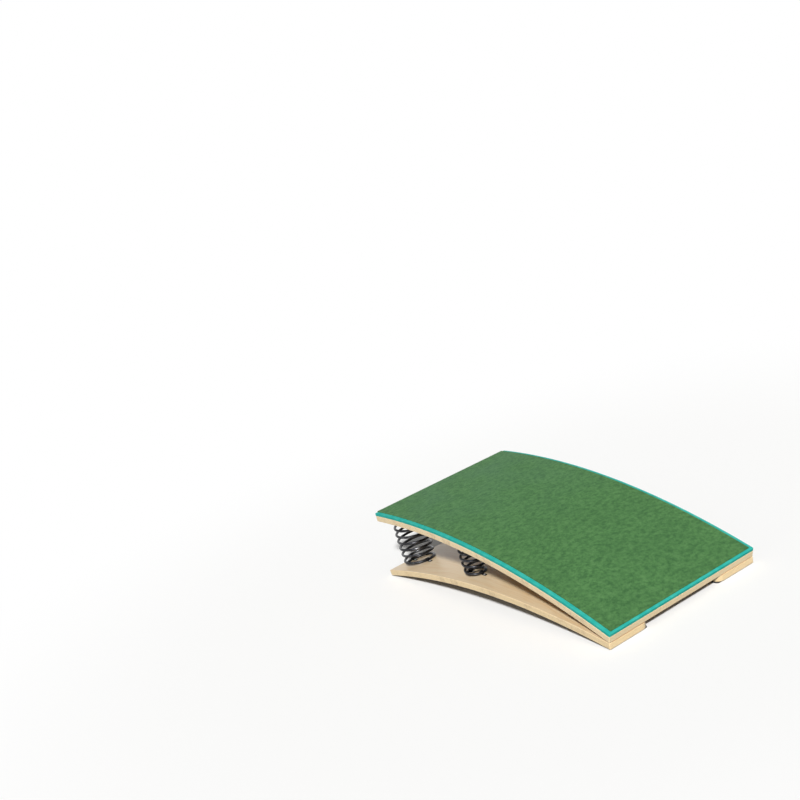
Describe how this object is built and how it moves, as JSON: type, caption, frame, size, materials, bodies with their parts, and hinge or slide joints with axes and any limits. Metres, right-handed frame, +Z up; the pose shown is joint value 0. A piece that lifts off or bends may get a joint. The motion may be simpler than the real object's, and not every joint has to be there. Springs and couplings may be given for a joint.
{
  "type": "gymnastics springboard",
  "caption": "Low take-off board with a bowed, padded and carpeted deck, clamped at its low end to an arched plywood base and held up by open coil springs.",
  "frame": {"origin": "on the floor, under the middle of the board's length and width", "axes": "+X along the board from its low end to its high end, +Y to the left of a person who runs up it, +Z up"},
  "size_m": [1.2186, 0.6, 0.2567],
  "materials": {
    "base_plywood": "satin varnish",
    "deck_plywood": "satin varnish",
    "packing_wood": "bare sawn wood",
    "foam": "matt closed-cell foam",
    "carpet": "needle felt",
    "rubber": "matt",
    "spring_steel": "dark, semi-gloss",
    "clip_steel": "dark, semi-gloss",
    "plated_steel": "zinc plated"
  },
  "bodies": {
    "base": {"base_board": "base_plywood", "wedge_left": "packing_wood", "wedge_right": "packing_wood", "rubber_foot_low_left": "rubber", "rubber_foot_low_right": "rubber", "rubber_foot_high": "rubber", "coach_bolt_left_outer": "plated_steel", "coach_bolt_left_inner": "plated_steel", "coach_bolt_right_outer": "plated_steel", "coach_bolt_right_inner": "plated_steel", "washer_left_outer": "plated_steel", "washer_left_inner": "plated_steel", "washer_right_outer": "plated_steel", "washer_right_inner": "plated_steel", "lock_nut_left_outer": "plated_steel", "lock_nut_left_inner": "plated_steel", "lock_nut_right_outer": "plated_steel", "lock_nut_right_inner": "plated_steel", "spring_front_left": "spring_steel", "spring_front_right": "spring_steel", "spring_rear_left": "spring_steel", "spring_rear_right": "spring_steel", "clip_front_left_base_low": "clip_steel", "clip_front_left_base_high": "clip_steel", "clip_front_right_base_low": "clip_steel", "clip_front_right_base_high": "clip_steel", "clip_rear_left_base_low": "clip_steel", "clip_rear_left_base_high": "clip_steel", "clip_rear_right_base_low": "clip_steel", "clip_rear_right_base_high": "clip_steel", "screw_front_left_base_low": "plated_steel", "screw_front_left_base_high": "plated_steel", "screw_front_right_base_low": "plated_steel", "screw_front_right_base_high": "plated_steel", "screw_rear_left_base_low": "plated_steel", "screw_rear_left_base_high": "plated_steel", "screw_rear_right_base_low": "plated_steel", "screw_rear_right_base_high": "plated_steel"},
    "deck": {"deck_board": "deck_plywood", "foam_pad": "foam", "carpet": "carpet", "clip_front_left_deck_low": "clip_steel", "clip_front_left_deck_high": "clip_steel", "clip_front_right_deck_low": "clip_steel", "clip_front_right_deck_high": "clip_steel", "clip_rear_left_deck_low": "clip_steel", "clip_rear_left_deck_high": "clip_steel", "clip_rear_right_deck_low": "clip_steel", "clip_rear_right_deck_high": "clip_steel", "screw_front_left_deck_low": "plated_steel", "screw_front_left_deck_high": "plated_steel", "screw_front_right_deck_low": "plated_steel", "screw_front_right_deck_high": "plated_steel", "screw_rear_left_deck_low": "plated_steel", "screw_rear_left_deck_high": "plated_steel", "screw_rear_right_deck_low": "plated_steel", "screw_rear_right_deck_high": "plated_steel"}
  },
  "joints": [
    {"name": "deck_flex", "type": "hinge", "parent": "base", "child": "deck", "pos_m": [-0.53443, 0, 0.04741], "axis": [0, 1, 0], "range_deg": [0, 3], "stiffness_Nm_per_rad": 65000, "springref_deg": -0.11, "deforming": ["spring_front_left", "spring_front_right", "spring_rear_left", "spring_rear_right"]}
  ]
}
